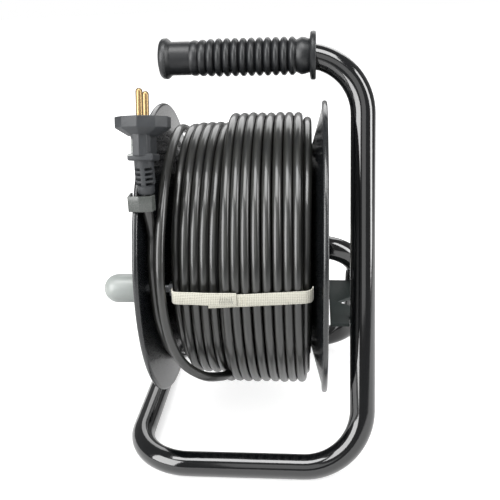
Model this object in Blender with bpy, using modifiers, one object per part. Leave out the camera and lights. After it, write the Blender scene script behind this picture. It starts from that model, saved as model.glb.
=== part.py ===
"""Extension cord reel: a steel drum of flat black cord turning on a bent tube frame.

Units are metres, +Z is up and the drum turns about an axle along X.  The origin is on the floor,
under the middle of the reel.  Inside the functions x is counted from the rear rim of the drum and
z from the axle; place() turns such a point into the part's own frame.
"""
import math

import bmesh
import bpy
from mathutils import Matrix, Vector

# ---- driving dimensions ---------------------------------------------------------------------
GAP = 0.0003                # clearance that stands for two touching faces

TUBE_R = 0.010              # frame tube
BEND_R = 0.047              # frame bends, on the tube's centreline
AXLE_BEND_R = 0.038         # the last bend, into the axle
BASE_BELOW_AXLE = 0.148     # tube centre of the feet, under the axle
HANDLE_ABOVE_AXLE = 0.162
FOOT_SPREAD = 0.1104        # each foot from the middle plane
REAR_TUBE_X = 0.0277        # rear tubes, behind the drum's rear rim
FRONT_TUBE_X = -0.160       # front cross tube
HANDLE_END_X = -0.1325      # free end of the tube, inside the grip
AXLE_END_X = -0.092

DRUM_WIDTH = 0.1416         # over both rims
FLANGE_R = 0.125
SHEET = 0.0012              # flange and core sheet
DISH = 0.0165               # depth of a flange's flat middle, below its rim
FLAT_R = 0.070              # outer radius of that flat middle
LIP = 0.0045                # rolled rim
CORE_R = 0.065
FRONT_OPENING_R = 0.0612    # hole in the front flange, behind the socket plate
BEARING_PLATE_X = -0.070
GLAND_X = -0.082
BUSH_WALL = 0.0042
BUSH_FLANGE = 0.0030
RUNNING_GAP = 0.0003

SOCKET_CIRCLE_R = 0.037
SOCKET_WELL_R = 0.0197
SOCKET_WALL = 0.0016
SOCKET_DEPTH = 0.0175
SOCKET_RAISE = 0.0105       # rim of a socket in front of the plate
SOCKET_COUNT = 4
PIN_SPACING = 0.019
PIN_R = 0.0024
PIN_LENGTH = 0.019
PLATE_R = 0.0665
PLATE_THICKNESS = 0.003
BOLT_CIRCLE_R = 0.0575
BOLT_R = 0.002
BOLT_TURN = 4.0              # degrees from the horizontal to the first bolt
BUTTON_R = 0.0058
BUTTON_TRAVEL = 0.0018

GRIP_END_X = -0.1347
GRIP_GUARD_X = -0.0094
GRIP_BEAD_R = 0.0160
GRIP_NECK_R = 0.0132
GRIP_RIB_R = 0.0150
GRIP_GROOVE_R = 0.0117
GRIP_GUARD_R = 0.0188
GRIP_RIBS = 13
GRIP_RIB_PITCH = 0.00650

KNOB_Y = -0.080             # winding knob, from the axle
KNOB_Z = -0.005
KNOB_R = 0.0113
KNOB_PROUD = 0.0344         # knob's end beyond the front rim
KNOB_PIN_R = 0.003
KNOB_BASE_HEIGHT = 0.0075

CORD_R = 0.0037
COIL_LEFT_X = -0.1182
COIL_RIGHT_X = -0.012
COIL_STEP_X = -0.078        # where the top layer of turns ends
COIL_R = 0.116
PLUG_X = -0.1309
PLUG_Y = -0.100
PLUG_FACE_Z = 0.1333
PLUG_HEAD_R = 0.0190
PLUG_LEAN = math.radians(15)    # head and collar, back from the sleeve
PLUG_BEND_HEIGHT = 0.022    # where that lean starts, above the foot

STRAP_WIDTH = 0.0098
STRAP_THICKNESS = 0.0010
STRAP_Z = 0.002

TIE_PLATE_Z = -0.040
TIE_PLATE_THICKNESS = 0.003

STEPS = 40                  # segments round the drum's turned parts
SMALL_STEPS = 16            # segments round small turned parts

# ---- places worked out from them ------------------------------------------------------------
LEFT_END_X = min(-DRUM_WIDTH - KNOB_PROUD, FRONT_TUBE_X - TUBE_R)
REAR_X = -(LEFT_END_X + REAR_TUBE_X + TUBE_R) / 2
TUBE_FACE = math.radians(30)    # angle of each of the tube's twelve faces
AXLE_Z = BASE_BELOW_AXLE + TUBE_R * math.cos(TUBE_FACE / 2)
FLANGE_SLOPE = (DISH - LIP / 2) / (FLANGE_R - LIP / 2 - FLAT_R)
PLATE_FRONT_X = -DRUM_WIDTH + DISH - GAP - PLATE_THICKNESS
SOCKET_FLOOR_X = PLATE_FRONT_X + SOCKET_DEPTH - SOCKET_RAISE
SOCKET_BACK_X = SOCKET_FLOOR_X + 0.0025
CARRIER_THICKNESS = 0.006
RAIL_X = SOCKET_BACK_X + CARRIER_THICKNESS + 2 * GAP


def place(x, y, z):
    """Return the part-frame point of one given from the rear rim and the axle."""
    return Vector((x + REAR_X, y, z + AXLE_Z))


def round_axle(radius, degrees, x):
    """Return a point at a radius and an angle round the axle; 180 is the near side, 270 the bottom."""
    angle = math.radians(degrees)
    return (x, radius * math.cos(angle), radius * math.sin(angle))


# ---- scene and materials --------------------------------------------------------------------
def clear_scene():
    for item in list(bpy.data.objects):
        bpy.data.objects.remove(item, do_unlink=True)


def new_collection(name):
    collection = bpy.data.collections.new(name)
    bpy.context.scene.collection.children.link(collection)
    return collection


def new_material(name, colour, roughness, metallic=0.0):
    material = bpy.data.materials.new(name)
    material.use_nodes = True
    shader = material.node_tree.nodes["Principled BSDF"]
    shader.inputs["Base Color"].default_value = (*colour, 1.0)
    shader.inputs["Roughness"].default_value = roughness
    shader.inputs["Metallic"].default_value = metallic
    return material


clear_scene()
REEL = new_collection("extension_cord_reel")
CUTTERS = new_collection("cutters")

GLOSS_BLACK = new_material("gloss_black_paint", (0.006, 0.006, 0.007), 0.12)
SATIN_BLACK = new_material("satin_black_paint", (0.016, 0.017, 0.019), 0.35)
GRIP_BLACK = new_material("grip_plastic", (0.022, 0.023, 0.025), 0.55)
GREY_PLASTIC = new_material("grey_plastic", (0.23, 0.24, 0.23), 0.35)
NYLON = new_material("nylon", (0.45, 0.45, 0.42), 0.45)
CORD_PVC = new_material("cord_pvc", (0.010, 0.011, 0.013), 0.22)
PLUG_PLASTIC = new_material("plug_plastic", (0.030, 0.032, 0.034), 0.50)
SOCKET_PLASTIC = new_material("socket_plastic", (0.018, 0.018, 0.020), 0.45)
STEEL = new_material("zinc_steel", (0.55, 0.56, 0.58), 0.30, 1.0)
BRASS = new_material("brass", (0.72, 0.52, 0.26), 0.28, 1.0)
NICKEL = new_material("nickel_plate", (0.70, 0.66, 0.58), 0.25, 1.0)
RED_PLASTIC = new_material("red_plastic", (0.50, 0.03, 0.02), 0.40)
WEBBING = new_material("webbing", (0.62, 0.61, 0.55), 0.85)


# ---- shape tools ----------------------------------------------------------------------------
def add_object(name, data, material, collection=REEL):
    item = bpy.data.objects.new(name, data)
    data.materials.append(material)
    collection.objects.link(item)
    return item


def as_cutter(item):
    """Move an object to the cutters, which only shape other pieces."""
    for collection in list(item.users_collection):
        collection.objects.unlink(item)
    CUTTERS.objects.link(item)
    item.hide_render = True
    item.display_type = "WIRE"
    return item


def turned(name, profile, material, location, direction=(1, 0, 0), steps=STEPS):
    """Turn a profile of (radius, height) points about a line through location along direction.

    A profile that begins and ends on the axis makes a solid, any other is closed into a ring.
    """
    points = list(profile)
    area = sum(a[0] * b[1] - b[0] * a[1] for a, b in zip(points, points[1:] + points[:1]))
    if area > 0:
        points.reverse()
    ring = points[0][0] > 0 or points[-1][0] > 0
    mesh = bpy.data.meshes.new(name)
    edges = [(i, i + 1) for i in range(len(points) - 1)]
    if ring:
        edges.append((len(points) - 1, 0))
    mesh.from_pydata([(radius, 0, height) for radius, height in points], edges, [])
    item = add_object(name, mesh, material)
    item.location = location
    item.rotation_mode = "QUATERNION"
    item.rotation_quaternion = Vector(direction).to_track_quat("Z", "Y")
    screw = item.modifiers.new("turn", "SCREW")
    screw.steps = steps
    screw.render_steps = steps
    screw.use_merge_vertices = True
    screw.merge_threshold = 0.00001
    return item


def cylinder_profile(radius, bottom, top):
    return [(0, bottom), (radius, bottom), (radius, top), (0, top)]


def ring_profile(inner, outer, bottom, top):
    return [(inner, bottom), (outer, bottom), (outer, top), (inner, top)]


def nut_profile(bolt_r, outer, height):
    """Return a hexagon nut's section; its six-sided bore clears the round bolt at its flats."""
    return ring_profile((bolt_r + GAP) / math.cos(math.radians(30)), outer, 0, height)


def tube(name, points, radius, material, resolution, tilt=0.0):
    """Run a round tube with closed ends through the points, its faces turned by tilt."""
    curve = bpy.data.curves.new(name, "CURVE")
    curve.dimensions = "3D"
    curve.bevel_depth = radius
    curve.bevel_resolution = resolution
    curve.use_fill_caps = True
    spline = curve.splines.new("POLY")
    spline.points.add(len(points) - 1)
    for spot, point in zip(spline.points, points):
        spot.co = (*point, 1.0)
        spot.tilt = tilt
    return add_object(name, curve, material)


def as_mesh(item):
    """Swap a curve object for a welded mesh, so that it can be cut."""
    evaluated = item.evaluated_get(bpy.context.evaluated_depsgraph_get())
    mesh = bpy.data.meshes.new_from_object(evaluated)
    shape = bmesh.new()
    shape.from_mesh(mesh)
    bmesh.ops.remove_doubles(shape, verts=shape.verts, dist=0.00001)
    shape.to_mesh(mesh)
    shape.free()
    name, matrix = item.name, item.matrix_world.copy()
    bpy.data.objects.remove(item, do_unlink=True)
    swapped = bpy.data.objects.new(name, mesh)
    REEL.objects.link(swapped)
    swapped.matrix_world = matrix
    return swapped


def rounded_path(corners, radii, steps):
    """Replace each inner corner of a polyline by an arc of its radius."""
    path = [corners[0]]
    for before, corner, after, radius in zip(corners, corners[1:], corners[2:], radii):
        to_before = (before - corner).normalized()
        to_after = (after - corner).normalized()
        half = to_before.angle(to_after) / 2
        centre = corner + (to_before + to_after).normalized() * radius / math.sin(half)
        start = corner + to_before * radius / math.tan(half)
        end = corner + to_after * radius / math.tan(half)
        for i in range(steps + 1):
            arm = (start - centre).slerp(end - centre, i / steps).normalized() * radius
            path.append(centre + arm)
    path.append(corners[-1])
    return path


def smooth_path(points, spacing):
    """Read evenly spaced points from a Catmull-Rom curve through the route's own points."""
    ends = [points[0] * 2 - points[1], *points, points[-1] * 2 - points[-2]]
    fine = []
    for a, b, c, d in zip(ends, ends[1:], ends[2:], ends[3:]):
        for i in range(20):
            t = i / 20
            fine.append(0.5 * (2 * b + (c - a) * t + (2 * a - 5 * b + 4 * c - d) * t * t
                               + (3 * b - a - 3 * c + d) * t ** 3))
    fine.append(points[-1])
    path = [fine[0]]
    for point in fine:
        if (point - path[-1]).length >= spacing:
            path.append(point)
    path[-1] = fine[-1]
    return path


def box(name, size, location, material, bevel=0.0):
    shape = bmesh.new()
    bmesh.ops.create_cube(shape, size=1.0, matrix=Matrix.Diagonal((*size, 1.0)))
    mesh = bpy.data.meshes.new(name)
    shape.to_mesh(mesh)
    shape.free()
    item = add_object(name, mesh, material)
    item.location = location
    if bevel:
        rounding = item.modifiers.new("edges", "BEVEL")
        rounding.width = bevel
        rounding.segments = 2
    return item


def flat_outline(name, outline, thickness, location, material):
    """Fill an outline in the XY plane and give it a thickness along Z."""
    curve = bpy.data.curves.new(name, "CURVE")
    curve.dimensions = "2D"
    curve.fill_mode = "BOTH"
    curve.extrude = thickness / 2
    spline = curve.splines.new("POLY")
    spline.points.add(len(outline) - 1)
    for spot, (x, y) in zip(spline.points, outline):
        spot.co = (x, y, 0, 1)
    spline.use_cyclic_u = True
    item = add_object(name, curve, material)
    item.location = location
    return item


def band(name, path, height, thickness, middle_z, material):
    """Bend a strip of even thickness along an XY path, with its width along Z."""
    low, high = middle_z - height / 2, middle_z + height / 2
    points = [(*place(x, y, low),) for x, y in path] + [(*place(x, y, high),) for x, y in path]
    count = len(path)
    faces = [(i, i + 1, count + i + 1, count + i) for i in range(count - 1)]
    mesh = bpy.data.meshes.new(name)
    mesh.from_pydata(points, [], faces)
    item = add_object(name, mesh, material)
    solid = item.modifiers.new("thickness", "SOLIDIFY")
    solid.thickness = thickness
    solid.offset = 0
    solid.use_even_offset = True
    return item


def combine(item, other, operation):
    """Cut or join with another object, which becomes a cutter."""
    as_cutter(other)
    step = item.modifiers.new(operation.lower(), "BOOLEAN")
    step.operation = operation
    step.solver = "EXACT"
    step.object = other
    return item


def drill(item, radius, point, direction, length):
    """Cut a round hole centred on a point."""
    name = f"{item.name}_hole"
    cutter = turned(name, cylinder_profile(radius, -length / 2, length / 2), STEEL, point,
                    direction, SMALL_STEPS)
    return combine(item, cutter, "DIFFERENCE")


# ---- frame ----------------------------------------------------------------------------------
def build_frame_tube():
    rear, front, spread = REAR_TUBE_X, FRONT_TUBE_X, FOOT_SPREAD
    base = -BASE_BELOW_AXLE
    corners = [
        place(HANDLE_END_X, 0, HANDLE_ABOVE_AXLE),
        place(rear, 0, HANDLE_ABOVE_AXLE),
        place(rear, -spread, base),
        place(front, -spread, base),
        place(front, spread, base),
        place(rear, spread, base),
        place(rear, 0, 0),
        place(AXLE_END_X, 0, 0),
    ]
    radii = [BEND_R] * 5 + [AXLE_BEND_R]
    path = rounded_path(corners, radii, 6)
    frame = as_mesh(tube("frame_tube", path, TUBE_R, GLOSS_BLACK, 4, level_face_tilt()))
    drill(frame, 0.0019, place(AXLE_END_X + 0.0035, 0, 0), (0, 0, 1), 0.06)
    return frame


def level_face_tilt():
    """Return the turn that lays one of the tube's faces flat on the floor under both feet."""
    lean = math.atan2(FOOT_SPREAD, HANDLE_ABOVE_AXLE + BASE_BELOW_AXLE)
    return TUBE_FACE / 2 - (2 * lean) % TUBE_FACE


def rear_tube_y(z, foot_y, top_y, top_z):
    """Return where a rear tube's centreline stands in y at a height."""
    return top_y + (foot_y - top_y) * (top_z - z) / (top_z + BASE_BELOW_AXLE)


def build_tie_plate():
    """Pressed plate between the two rear tubes, with a notch in its rear edge."""
    z = TIE_PLATE_Z
    near_middle = rear_tube_y(z, -FOOT_SPREAD, 0, HANDLE_ABOVE_AXLE)
    far_middle = rear_tube_y(z, FOOT_SPREAD, 0, 0)
    near_reach = TUBE_R * math.hypot(1, FOOT_SPREAD / (HANDLE_ABOVE_AXLE + BASE_BELOW_AXLE))
    far_reach = TUBE_R * math.hypot(1, FOOT_SPREAD / BASE_BELOW_AXLE)
    slack = TIE_PLATE_THICKNESS * 0.5 + GAP
    near = near_middle + near_reach + slack * 0.36
    far = far_middle - far_reach - slack * 0.75
    edge = REAR_TUBE_X - TUBE_R - GAP
    drum_side = 0.0022
    notch_y = (near + far) / 2 - 0.008
    outline = [(drum_side, near_middle), (edge, near_middle), (edge, near),
               (REAR_TUBE_X, near), (REAR_TUBE_X, notch_y - 0.015), (0.0094, notch_y),
               (REAR_TUBE_X, notch_y + 0.015), (REAR_TUBE_X, far), (edge, far), (drum_side, far)]
    return flat_outline("tie_plate", outline, TIE_PLATE_THICKNESS,
                        place(0, 0, z), GLOSS_BLACK)


def grip_profile():
    """Return the grip's outline along its length, then its bore; heights count from its end."""
    length = GRIP_GUARD_X - GRIP_END_X
    ribs_start = length - 0.0155 - GRIP_RIBS * GRIP_RIB_PITCH
    outside = [(0, 0), (GRIP_BEAD_R - 0.004, 0), (GRIP_BEAD_R, 0.0035), (GRIP_BEAD_R, 0.0065),
               (GRIP_NECK_R, 0.0095), (GRIP_NECK_R, ribs_start - 0.001)]
    for i in range(GRIP_RIBS):
        start = ribs_start + i * GRIP_RIB_PITCH
        outside += [(GRIP_GROOVE_R, start), (GRIP_RIB_R, start + 0.3 * GRIP_RIB_PITCH),
                    (GRIP_RIB_R, start + 0.7 * GRIP_RIB_PITCH)]
    ribs_end = ribs_start + GRIP_RIBS * GRIP_RIB_PITCH
    outside += [(GRIP_GROOVE_R + 0.0008, ribs_end), (0.0145, ribs_end + 0.004),
                (0.0130, length - 0.005), (GRIP_GUARD_R, length - 0.0042),
                (GRIP_GUARD_R, length - 0.001), (GRIP_GUARD_R - 0.001, length)]
    bore_r = TUBE_R + GAP
    bore_end = HANDLE_END_X - GRIP_END_X - GAP
    flare_at = length - 0.012
    return outside + [(bore_r + 0.0012, length), (bore_r, flare_at), (bore_r, bore_end),
                      (0, bore_end)]


def build_grip():
    return turned("handle_grip", grip_profile(), GRIP_BLACK,
                  place(GRIP_END_X, 0, HANDLE_ABOVE_AXLE), steps=20)


def build_axle_hardware():
    washer = ring_profile(TUBE_R + RUNNING_GAP, 0.0165, 0, 0.0015)
    pin_x = AXLE_END_X + 0.0035
    turned("axle_washer", washer, STEEL, place(pin_x + 0.0032 + GAP, 0, 0), steps=20)
    pin = [(0, -0.0150), (0.0016, -0.0150), (0.0016, 0.0125), (0.0032, 0.0130), (0.0032, 0.0150),
           (0, 0.0150)]
    turned("retaining_pin", pin, STEEL, place(pin_x, 0, 0), (0, 0, 1), 10)


# ---- drum -----------------------------------------------------------------------------------
def flange_depth(radius):
    """Return how far the flange's outer face lies inside its rim at a radius."""
    return DISH - max(0.0, radius - FLAT_R) * FLANGE_SLOPE


def flange_profile(hole_r):
    """Return (radius, depth) points round a flange's section, with depth into the drum."""
    lip_start = FLANGE_R - LIP
    depth = flange_depth(lip_start)
    return [(hole_r, DISH), (FLAT_R, DISH), (lip_start, depth), (lip_start + 0.0006, 0.0008),
            (FLANGE_R - 0.0022, 0), (FLANGE_R - 0.0006, 0.0007), (FLANGE_R, 0.0022),
            (FLANGE_R - 0.0006, 0.0038), (FLANGE_R - 0.0022, 0.0045),
            (lip_start, depth + SHEET), (FLAT_R, DISH + SHEET), (hole_r, DISH + SHEET)]


def build_flanges():
    rear = [(r, -depth) for r, depth in flange_profile(TUBE_R + BUSH_WALL + RUNNING_GAP + GAP)]
    rear_flange = turned("rear_flange", rear, SATIN_BLACK, place(0, 0, 0))
    drill_bolt_holes(rear_flange, -DISH)
    front = flange_profile(FRONT_OPENING_R)
    front_flange = turned("front_flange", front, SATIN_BLACK, place(-DRUM_WIDTH, 0, 0))
    drill(front_flange, KNOB_PIN_R + GAP, place(-DRUM_WIDTH + DISH, KNOB_Y, KNOB_Z),
          (1, 0, 0), 0.03)


def bolt_places(x):
    return [place(*round_axle(BOLT_CIRCLE_R, BOLT_TURN + 90 * i, x)) for i in range(4)]


def drill_bolt_holes(item, x):
    for point in bolt_places(x):
        drill(item, BOLT_R + GAP, point, (1, 0, 0), 0.02)


def gland_direction():
    """Return the way out through the core's wall, between two tie bolts."""
    return Vector((0, *round_axle(1, 292.5, 0)[1:]))


def build_core():
    length = DRUM_WIDTH - 2 * (DISH + SHEET + GAP)
    core = turned("drum_core", ring_profile(CORE_R - SHEET, CORE_R, 0, length), SATIN_BLACK,
                  place(-DISH - SHEET - GAP - length, 0, 0))
    direction = gland_direction()
    drill(core, 0.0068, place(GLAND_X, 0, 0) + direction * CORE_R, direction, 0.02)


def build_bearings():
    bore = TUBE_R + RUNNING_GAP
    barrel = bore + BUSH_WALL
    rear = [(bore, -0.022), (barrel, -0.022), (barrel, GAP), (0.0205, GAP),
            (0.0205, GAP + BUSH_FLANGE), (bore, GAP + BUSH_FLANGE)]
    turned("rear_bush", rear, NYLON, place(-DISH, 0, 0), steps=24)
    front = [(bore, -0.0120), (0.0205, -0.0120), (0.0205, -0.0095), (barrel, -0.0095),
             (barrel, 0.010), (bore, 0.010)]
    turned("front_bush", front, NYLON, place(BEARING_PLATE_X - SHEET, 0, 0), steps=24)
    rim = CORE_R - SHEET - GAP
    plate = [(barrel + GAP, 0), (rim, 0), (rim, 0.010), (rim - SHEET, 0.010),
             (rim - SHEET, SHEET), (barrel + GAP, SHEET)]
    shape = [(r, h - SHEET) for r, h in plate]
    bearing = turned("bearing_plate", shape, STEEL, place(BEARING_PLATE_X, 0, 0))
    drill_bolt_holes(bearing, BEARING_PLATE_X)


def build_tie_bolts():
    front = PLATE_FRONT_X - GAP
    rear = -DISH + 0.007
    for i, point in enumerate(bolt_places(front), 1):
        shank = [(0, rear - front), (BOLT_R, rear - front), (BOLT_R, 0), (0.0036, 0),
                 (0.0036, -0.0015), (0.0024, -0.0024), (0, -0.0024)]
        turned(f"tie_bolt_{i}", shank, STEEL, point, steps=12)
    for i, point in enumerate(bolt_places(-DISH + GAP), 1):
        nut = nut_profile(BOLT_R, 0.0040, 0.0032)
        turned(f"tie_nut_{i}", nut, STEEL, point, steps=6)


# ---- sockets and wiring ---------------------------------------------------------------------
def socket_angles():
    return [45 + 360 / SOCKET_COUNT * i for i in range(SOCKET_COUNT)]


def build_socket_plate():
    well = SOCKET_WELL_R + SOCKET_WALL + GAP
    shape = [(0, 0), (PLATE_R - 0.001, 0), (PLATE_R, 0.001), (PLATE_R, PLATE_THICKNESS),
             (0, PLATE_THICKNESS)]
    plate = turned("socket_plate", shape, SOCKET_PLASTIC, place(PLATE_FRONT_X, 0, 0))
    for angle in socket_angles():
        point = place(*round_axle(SOCKET_CIRCLE_R, angle, PLATE_FRONT_X))
        cutter = turned("well_hole", cylinder_profile(well, -0.01, 0.01), STEEL, point, steps=24)
        combine(plate, cutter, "DIFFERENCE")
    drill_bolt_holes(plate, PLATE_FRONT_X)
    drill(plate, BUTTON_R + GAP, place(PLATE_FRONT_X, 0, 0), (1, 0, 0), 0.02)


def socket_pin_places(angle, x):
    return [place(*round_axle(SOCKET_CIRCLE_R + side * PIN_SPACING / 2, angle, x))
            for side in (-1, 1)]


def build_sockets():
    outer = SOCKET_WELL_R + SOCKET_WALL
    back = SOCKET_BACK_X - PLATE_FRONT_X
    floor = SOCKET_FLOOR_X - PLATE_FRONT_X
    flange = -GAP - 0.0015
    shape = [(0, floor), (SOCKET_WELL_R, floor), (SOCKET_WELL_R, -SOCKET_RAISE),
             (outer, -SOCKET_RAISE), (outer, flange), (outer + 0.0014, flange),
             (outer + 0.0014, -GAP), (outer, -GAP), (outer, back), (0, back)]
    for i, angle in enumerate(socket_angles(), 1):
        point = place(*round_axle(SOCKET_CIRCLE_R, angle, PLATE_FRONT_X))
        item = turned(f"socket_{i}", shape, SOCKET_PLASTIC, point, steps=24)
        for hole in socket_pin_places(angle, SOCKET_FLOOR_X):
            drill(item, 0.0027, hole, (1, 0, 0), 0.02)


def build_contacts():
    inner_r = SOCKET_CIRCLE_R - PIN_SPACING / 2
    outer_r = SOCKET_CIRCLE_R + PIN_SPACING / 2
    carrier_shape = ring_profile(inner_r - 0.007, outer_r + 0.006, 0, CARRIER_THICKNESS)
    carrier = turned("contact_carrier", carrier_shape, SOCKET_PLASTIC,
                     place(SOCKET_BACK_X + GAP, 0, 0))
    sleeve = ring_profile(0.0025, 0.0035, 0, CARRIER_THICKNESS - 0.0005)
    for i, angle in enumerate(socket_angles(), 1):
        for side, point in zip("ab", socket_pin_places(angle, SOCKET_BACK_X + GAP + 0.0005)):
            drill(carrier, 0.0035 + GAP, point, (1, 0, 0), 0.03)
            turned(f"contact_{i}{side}", sleeve, BRASS, point, steps=10)
    for name, radius in (("contact_rail_live", inner_r), ("contact_rail_neutral", outer_r)):
        rail = ring_profile(radius - 0.0035, radius + 0.0035, 0, 0.0008)
        turned(name, rail, BRASS, place(RAIL_X, 0, 0), steps=24)


def build_cut_out():
    """Thermal cut-out behind the middle of the plate, with its reset button."""
    back = PLATE_THICKNESS + 0.022
    body = [(0, back), (0.0115, back), (0.0115, PLATE_THICKNESS + GAP),
            (BUTTON_R + GAP, PLATE_THICKNESS + GAP), (BUTTON_R + GAP, PLATE_THICKNESS + 0.008),
            (0, PLATE_THICKNESS + 0.008)]
    turned("thermal_cut_out", body, SOCKET_PLASTIC, place(PLATE_FRONT_X, 0, 0), steps=20)
    inside = PLATE_THICKNESS + 0.008 - BUTTON_TRAVEL - GAP
    button = [(0, inside), (BUTTON_R - GAP, inside), (BUTTON_R - GAP, -0.0020),
              (BUTTON_R - 0.0016, -0.0030), (0, -0.0032)]
    turned("reset_button", button, RED_PLASTIC, place(PLATE_FRONT_X, 0, 0), steps=16)


def build_wiring():
    """Strain relief in the core's wall, the lead inside and the block that it ends in."""
    direction = gland_direction()
    bore = CORD_R + GAP
    gland = [(bore, -0.0155), (0.0058, -0.0155), (0.0062, -0.0075), (0.0090, -0.0075),
             (0.0090, -0.0052), (0.0065, -0.0052), (0.0065, -0.0008), (bore, -0.0008)]
    seat = place(GLAND_X, 0, 0) + direction * CORE_R
    turned("cord_gland", gland, PLUG_PLASTIC, seat, direction, 20)
    block_r, block_size = 0.036, (0.020, 0.016, 0.012)
    block_x = BEARING_PLATE_X - SHEET - GAP - block_size[0] / 2
    block = box("terminal_block", block_size, place(block_x, 0, 0) + direction * block_r, NYLON,
                0.001)
    block.rotation_euler = (math.radians(292.5 - 270), 0, 0)
    lead_ends = (CORE_R - 0.0015, block_r + block_size[2] / 2 + GAP)
    tube("inner_lead", [place(GLAND_X, 0, 0) + direction * r for r in lead_ends], CORD_R,
         CORD_PVC, 2)


# ---- winding knob ---------------------------------------------------------------------------
def build_knob():
    flange_x = -DRUM_WIDTH + flange_depth(math.hypot(KNOB_Y, KNOB_Z))
    base_front = flange_x - KNOB_BASE_HEIGHT
    base = turned("knob_base", ring_profile(KNOB_PIN_R + GAP, 0.0122, 0, KNOB_BASE_HEIGHT + 0.006),
                  GREY_PLASTIC, place(base_front, KNOB_Y, KNOB_Z), steps=24)
    behind = [(0, DISH - GAP), (FLAT_R, DISH - GAP),
              (FLANGE_R, flange_depth(FLANGE_R) - GAP), (FLANGE_R, 0.04), (0, 0.04)]
    cutter = turned("flange_space", behind, STEEL, place(-DRUM_WIDTH, 0, 0))
    combine(base, cutter, "DIFFERENCE")

    end = -DRUM_WIDTH - KNOB_PROUD
    length = base_front - GAP - end
    nose = [(KNOB_R * math.cos(math.radians(a)), KNOB_R - KNOB_R * math.sin(math.radians(a)))
            for a in range(0, 90, 15)]
    head_r, head_at, head_height = 0.0055, 0.012, 0.003
    bore = KNOB_PIN_R + GAP
    inside = [(bore, length), (bore, head_at + head_height + GAP),
              (head_r + GAP, head_at + head_height + GAP), (head_r + GAP, head_at - GAP),
              (0, head_at - GAP)]
    shape = [(0, 0), *reversed(nose), (KNOB_R, length - 0.001), (KNOB_R - 0.001, length), *inside]
    turned("winding_knob", shape, GREY_PLASTIC, place(end, KNOB_Y, KNOB_Z), steps=24)

    pin_end = -DRUM_WIDTH + DISH + SHEET + GAP + 0.0045 - end
    pin = [(0, head_at), (head_r, head_at), (head_r, head_at + head_height),
           (KNOB_PIN_R, head_at + head_height), (KNOB_PIN_R, pin_end), (0, pin_end)]
    turned("knob_pin", pin, STEEL, place(end, KNOB_Y, KNOB_Z), steps=16)
    nut = nut_profile(KNOB_PIN_R, 0.0058, 0.0036)
    turned("knob_nut", nut, STEEL, place(-DRUM_WIDTH + DISH + SHEET + GAP, KNOB_Y, KNOB_Z), steps=6)


# ---- cord, plug, clip and strap -------------------------------------------------------------
def coil_profile():
    """Return the wound cord's section, stepped where its top layer of turns ends."""
    inner = CORE_R + GAP
    flange_face = -DISH - SHEET - GAP
    clear_r = FLAT_R + (COIL_RIGHT_X - flange_face) / FLANGE_SLOPE
    lower_r = COIL_R - 2 * CORD_R
    return [(inner, flange_face), (FLAT_R, flange_face), (clear_r, COIL_RIGHT_X),
            (COIL_R, COIL_RIGHT_X), (COIL_R, COIL_STEP_X), (lower_r, COIL_STEP_X),
            (lower_r, COIL_LEFT_X), (inner, COIL_LEFT_X)]


def cord_route():
    """Return the free cord's route: off the coil, up the near side, round the back and to the plug."""
    turns = [
        (COIL_R - CORD_R + 0.0006, 590, -0.0822), (0.1175, 583, -0.0850), (0.1235, 575, -0.0975),
        (0.1235, 566, -0.1110), (0.1195, 555, -0.1190), (0.1165, 541, -0.1225),
        (0.1145, 525, -0.1232), (0.1120, 508, -0.1226), (0.1078, 485, -0.1223),
        (0.1045, 450, -0.1223), (0.1040, 410, -0.1226), (0.1040, 370, -0.1235),
        (0.1030, 335, -0.1250), (0.1000, 300, -0.1262), (0.0970, 270, -0.1265),
        (0.0960, 245, -0.1265), (0.0975, 222, -0.1272), (0.1010, 205, -0.1282),
        (0.1060, 188, -0.1292), (0.1085, 168, -0.1298),
    ]
    route = [place(*round_axle(*turn)) for turn in turns]
    route += [place(-0.1299, -0.0985, 0.0450), place(PLUG_X, PLUG_Y, 0.0620),
              place(PLUG_X, PLUG_Y, 0.0790 - GAP)]
    return route


def build_cord():
    turned("cord_coil", coil_profile(), CORD_PVC, place(0, 0, 0))
    tube("cord_free", smooth_path(cord_route(), 0.0150), CORD_R, CORD_PVC, 2)


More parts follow.
